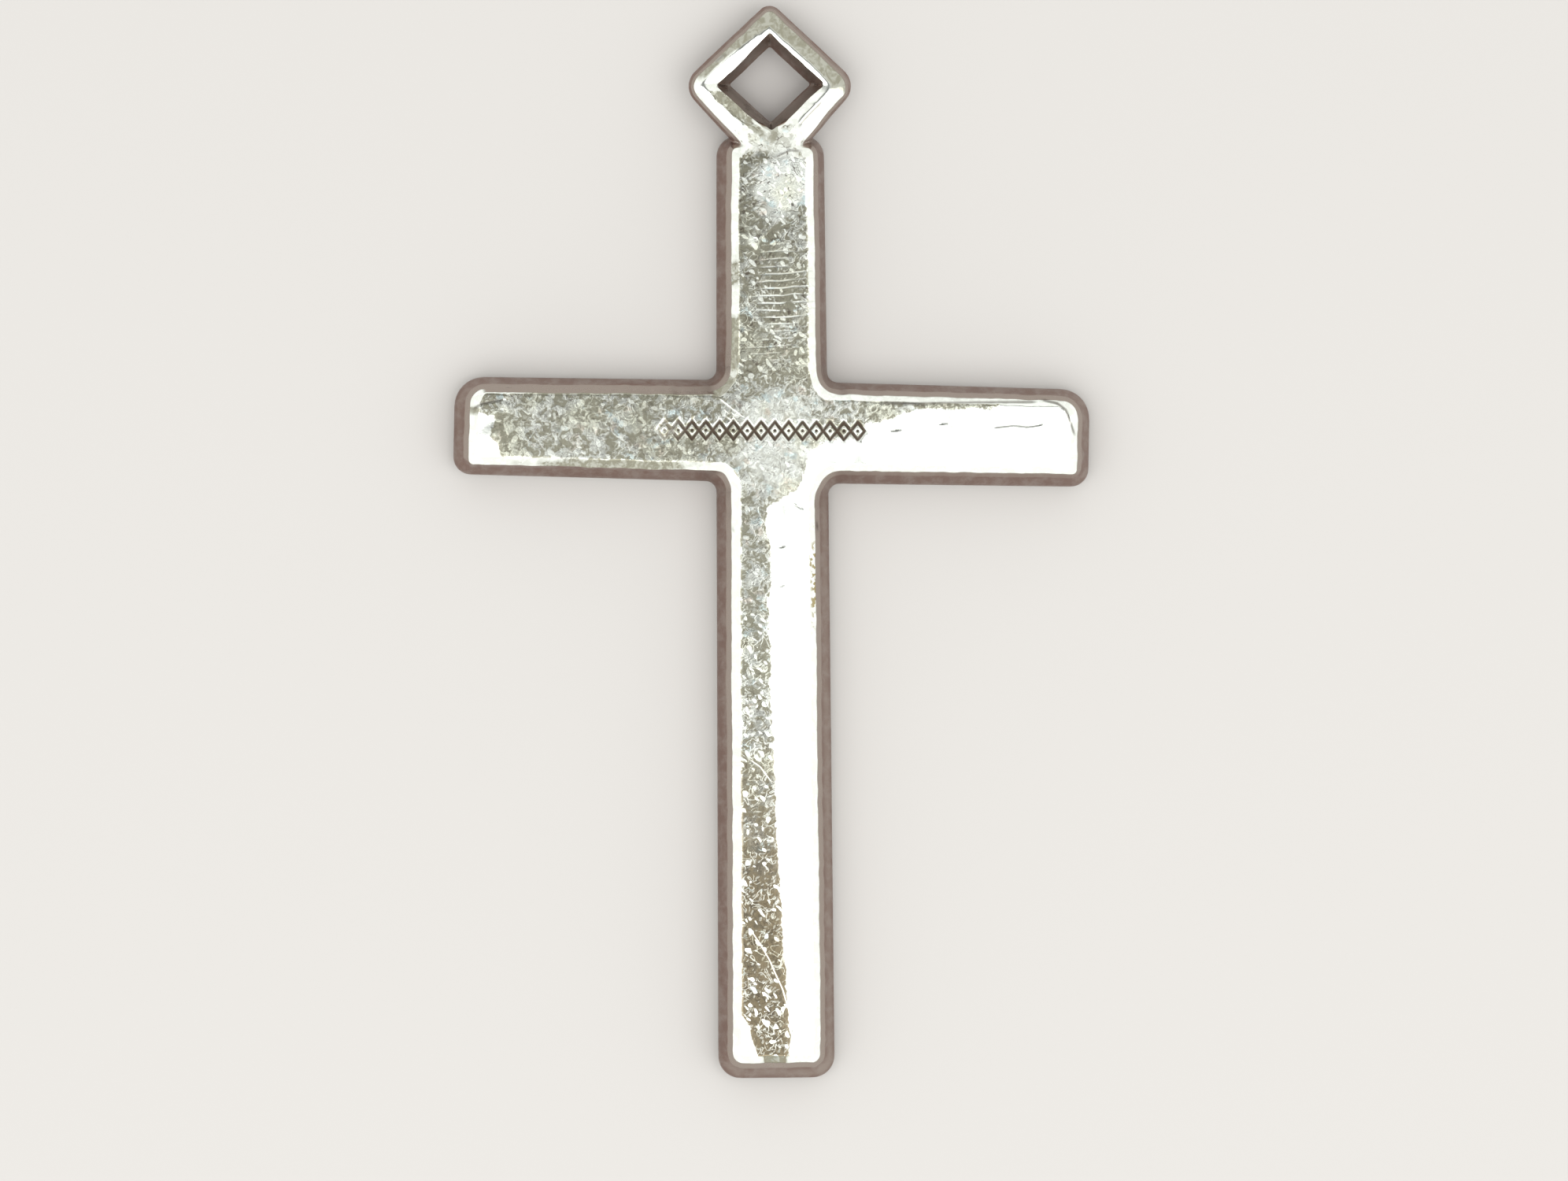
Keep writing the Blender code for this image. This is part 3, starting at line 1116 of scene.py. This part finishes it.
def silver_normal(tree, masks):
    """The bumps of the casting's skin, the flecks and the scratches."""
    hair = hair_group()
    crosswise = tree.group(hair, Vector=masks.place, Turn=0.1, Fineness=11.0, Length=1.4, Cover=0.5)
    slanting = tree.group(hair, Vector=masks.place, Turn=1.0, Fineness=13.0, Length=1.0, Cover=0.45)
    lengthwise = tree.group(hair, Vector=masks.place, Turn=1.62, Fineness=10.0, Length=2.5, Cover=0.45)
    scratches = tree.most(crosswise, slanting, lengthwise)
    height = tree.total(tree.product(masks.swirls, SKIN_HEIGHT), tree.product(masks.fleck, FLECK_HEIGHT))
    height = tree.total(height, tree.product(scratches, -SCRATCH_DEPTH))
    on_wall = tree.ramp(masks.given["wall"], 0.3, 0.6, 1.0, 0.5)
    pale = tree.ramp(masks.given["pale"], 0.0, 1.0, 1.0, 0.6)
    height = tree.product(height, masks.dull, on_wall, pale)
    height = tree.total(height, tree.product(masks.scored, -SCORE_DEPTH))
    bump = tree.add("ShaderNodeBump", {"Height": height, "Distance": MM, "Strength": 1.0})
    return bump.outputs["Normal"]


def back_colour(tree, masks, finish):
    """The colour of the back: silver with coloured spots under tarnish, a stain, dirt and specks."""
    tint = tree.ramp(tree.noise(masks.place, 0.6, 3.0), 0.45, 0.65, 0.0, 0.7)
    cool = tree.ramp(tree.noise(masks.aside, 2.1, 2.0, 0.6), 0.58, 0.7, 0.0, 0.7)
    blush = tree.ramp(tree.noise(masks.place, 1.9, 3.0, 0.6), 0.58, 0.72, 0.0, 0.5)
    low = tree.product(tree.ramp(masks.along, STAIN_START, STAIN_FULL), masks.plain, masks.on_back)
    deep = tree.total(tree.product(masks.over_crossbar, 0.35), 0.5)
    film = tree.product(masks.given["film"], tree.ramp(masks.swirls, 0.38, 0.6, 1.0, 0.75))
    grains = tree.ramp(tree.noise(masks.place, 6.0, 1.0), 0.5, 0.58)
    return tree.layers(
        (*finish.silver, 1),
        (tree.product(tint, masks.plain), finish.film),
        (tree.product(cool, masks.plain), finish.cool),
        (tree.product(blush, masks.plain), finish.blush),
        (masks.tarnish, finish.tarnish),
        (tree.product(low, masks.bare, 0.92), finish.stain),
        (tree.product(masks.dark_curls, masks.plain, masks.bare, deep), finish.recess),
        # The film is partly painted shade, on the eye's upper outer slopes and on the left tip's bevel.
        (film, finish.tarnish),
        (tree.product(masks.given["specks"], grains), finish.speck),
    )


def silver_colour(tree, masks, finish):
    """The colour of the whole cross: the back's, then the painted shade on the walls, the scratches' and
    the punches'.
    """
    # Painted shade on the side walls: dark brown that stands for a dark floor's reflection in them, in
    # streaks and fading out near the floor.
    upright = tree.vector("MULTIPLY", masks.place, (1.0, 1.0, 0.45))
    streaks = tree.noise(upright, 2.3, 5.0, 0.66, 0.3)
    dimmed = tree.product(tree.ramp(streaks, 0.38, 0.68, 1.0, 0.5), tree.ramp(masks.height, 0.2, 0.5))
    steep = masks.given["wall"]
    # Painted light: a lighter band at the top of the walls, under the bevel.
    painted_shoulder_light = tree.product(tree.ramp(steep, 0.28, 0.36), tree.ramp(masks.height, 0.1, 0.35, 0.35, 1.0))
    colour = tree.layers(
        back_colour(tree, masks, finish),
        (painted_shoulder_light, finish.painted_shoulder_light),
        (tree.product(tree.ramp(steep, 0.42, 0.7), dimmed), finish.wall),
    )
    in_score = tree.mix(masks.given["score_dirt_and_shade"], (*finish.silver, 1), (*finish.recess, 1))
    colour = tree.mix(tree.product(masks.scored, 0.75), colour, in_score)
    return tree.mix(masks.given["recess"], colour, (*finish.recess, 1))


def silver_roughness(tree, masks):
    """The roughness: lowest where the silver is bright and polished."""
    return tree.total(
        tree.product(masks.tarnish, 0.1),
        0.1,
        tree.product(masks.given["pale"], 0.12),
        tree.product(masks.fleck, 0.18),
        tree.ramp(masks.given["wall"], 0.28, 0.6, 0.0, 0.27),
        tree.product(masks.given["recess"], 0.4),
    )


def silver_material(finish):
    """Polished silver with a casting's skin, scratches, thin tarnish, dull walls painted dark as shade, and
    dark recesses.
    """
    material = bpy.data.materials.new("finished_silver")
    material.use_nodes = True
    tree = Tree(material.node_tree)
    masks = SilverMasks(tree)
    shader = tree.nodes["Principled BSDF"]
    shader.inputs["Metallic"].default_value = 1.0
    tree.links.new(silver_colour(tree, masks, finish), shader.inputs["Base Color"])
    tree.links.new(silver_roughness(tree, masks), shader.inputs["Roughness"])
    tree.links.new(silver_normal(tree, masks), shader.inputs["Normal"])
    return material


class PENDANT_OT_cross(bpy.types.Operator):
    """Makes the finished silver cross from the solid one, and hides the solid one"""

    bl_idname = "pendant.cross"
    bl_label = "Silver cross"

    def execute(self, context):
        finish = context.scene.pendant_finish
        mesh = merged_copy()
        vary_bevel(mesh)
        straighten_hole(mesh)
        cut_heights(mesh)
        inset_flat_faces(mesh)
        cut_grid(mesh, finish.grid / MM)
        mesh = subdivided(mesh)
        refine_eye(mesh)
        shape_eye(mesh)
        fill_neck(mesh)
        draw_in_top(mesh)
        refine_punches(mesh)
        finish_surface(mesh, finish)
        cross = shaped_object("silver_cross", mesh)
        cross.data.materials.append(silver_material(finish))
        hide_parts(NODE)
        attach(cross, "root")
        return {"FINISHED"}


def add_floor(studio):
    """A plain pale floor at the height that the pendant rests on."""
    mesh = bmesh.new()
    bmesh.ops.create_grid(mesh, x_segments=1, y_segments=1, size=studio.floor_size / 2)
    data = bpy.data.meshes.new("floor")
    mesh.to_mesh(data)
    mesh.free()
    material = bpy.data.materials.new("pale_floor")
    material.use_nodes = True
    shader = material.node_tree.nodes["Principled BSDF"]
    shader.inputs["Base Color"].default_value = (*studio.floor, 1)
    shader.inputs["Roughness"].default_value = 0.9
    shader.inputs["Specular IOR Level"].default_value = 0.2
    data.materials.append(material)
    floor = bpy.data.objects.new("floor", data)
    bpy.context.scene.collection.objects.link(floor)


def add_panel(name, middle, size, power, aim):
    """A rectangular light panel that faces a place."""
    data = bpy.data.lights.new(name, "AREA")
    data.shape = "RECTANGLE"
    data.size = size[0]
    data.size_y = size[1]
    data.energy = power
    panel = bpy.data.objects.new(name, data)
    panel.location = middle
    panel.rotation_euler = (Vector(middle) - Vector(aim)).to_track_quat("Z", "Y").to_euler()
    bpy.context.scene.collection.objects.link(panel)


def add_light(studio):
    """Two large panels over the lower half, with a gap for the camera, and a soft tent all round."""
    middle = crossing().y * MM
    key = (0.1735, middle - 0.124, 0.3)
    fill = (-0.1515, middle - 0.1315, 0.3)
    add_panel("key_panel", key, (0.3, 0.3), studio.key_power, (key[0], key[1], 0))
    add_panel("fill_panel", fill, (0.3, 0.3), studio.fill_power, (fill[0], fill[1], 0))
    world = bpy.data.worlds.new("light_tent")
    world.use_nodes = True
    bpy.context.scene.world = world
    tree = Tree(world.node_tree)
    direction = tree.add("ShaderNodeTexCoord").outputs["Generated"]
    parts = tree.add("ShaderNodeSeparateXYZ", {"Vector": direction}).outputs
    low = tree.ramp(parts["Z"], -0.05, 0.12, 0.8, 1.4)
    high = tree.ramp(parts["Z"], 0.93, 0.985, 0.0, 1.1)
    behind = tree.ramp(parts["Y"], 0.0, 0.9, 0.0, 0.12)
    brightness = tree.math("SUBTRACT", tree.math("SUBTRACT", low, high), behind)
    background = tree.nodes["Background"]
    background.inputs["Color"].default_value = (1.0, 0.99, 0.97, 1)
    tree.links.new(tree.product(brightness, studio.tent), background.inputs["Strength"])


def add_camera(studio):
    """A camera that frames the pendant as the photograph does, from almost straight above."""
    roll = studio.roll
    right = Vector((math.cos(roll), -math.sin(roll), 0))
    up = Vector((math.sin(roll), math.cos(roll), 0))
    centre_right = (PHOTO_WIDTH / 2 - CROSSING_PIXEL[0]) / PIXELS_PER_MM
    centre_up = (CROSSING_PIXEL[1] - PHOTO_HEIGHT / 2) / PIXELS_PER_MM
    target = crossing() + right * centre_right + up * centre_up + Vector((0, 0, GIRTH_HEIGHT))
    data = bpy.data.cameras.new("camera")
    data.lens = studio.focal_length
    data.clip_start = 0.005
    distance = PHOTO_WIDTH / PIXELS_PER_MM * data.lens / data.sensor_width
    back = Vector((0, 0, 1)) - right * math.tan(studio.lean_left) - up * math.tan(studio.lean_down)
    back.normalize()
    side = up.cross(back).normalized()
    turn = Matrix((side, back.cross(side), back)).transposed().to_4x4()
    camera = bpy.data.objects.new("camera", data)
    camera.matrix_world = Matrix.Translation((target + back * distance) * MM) @ turn
    bpy.context.scene.collection.objects.link(camera)
    bpy.context.scene.camera = camera


class PENDANT_OT_studio(bpy.types.Operator):
    """Adds the floor, the light and the camera"""

    bl_idname = "pendant.studio"
    bl_label = "Studio"

    def execute(self, context):
        studio = context.scene.pendant_studio
        add_floor(studio)
        add_light(studio)
        add_camera(studio)
        context.scene.view_settings.view_transform = "Standard"
        return {"FINISHED"}


class PENDANT_PT_panel(bpy.types.Panel):
    """The sizes and colours, and a button for each piece"""

    bl_label = "Cross pendant"
    bl_idname = "PENDANT_PT_panel"
    bl_space_type = "VIEW_3D"
    bl_region_type = "UI"
    bl_category = "Pendant"

    def draw(self, context):
        layout = self.layout
        scene = context.scene
        for group, operator in (
            (scene.pendant_finish, PENDANT_OT_cross),
            (scene.pendant_studio, PENDANT_OT_studio),
        ):
            box = layout.box()
            for name in type(group).__annotations__:
                box.prop(group, name)
            box.operator(operator.bl_idname)


CLASSES = (PendantFinish, PendantStudio, PENDANT_OT_cross, PENDANT_OT_studio, PENDANT_PT_panel)


def register():
    for one in CLASSES:
        bpy.utils.register_class(one)
    bpy.types.Scene.pendant_finish = PointerProperty(type=PendantFinish)
    bpy.types.Scene.pendant_studio = PointerProperty(type=PendantStudio)


def unregister():
    del bpy.types.Scene.pendant_studio
    del bpy.types.Scene.pendant_finish
    for one in reversed(CLASSES):
        bpy.utils.unregister_class(one)


def main():
    register()
    bpy.ops.pendant.cross()
    bpy.ops.pendant.studio()


if __name__ == "__main__":
    main()
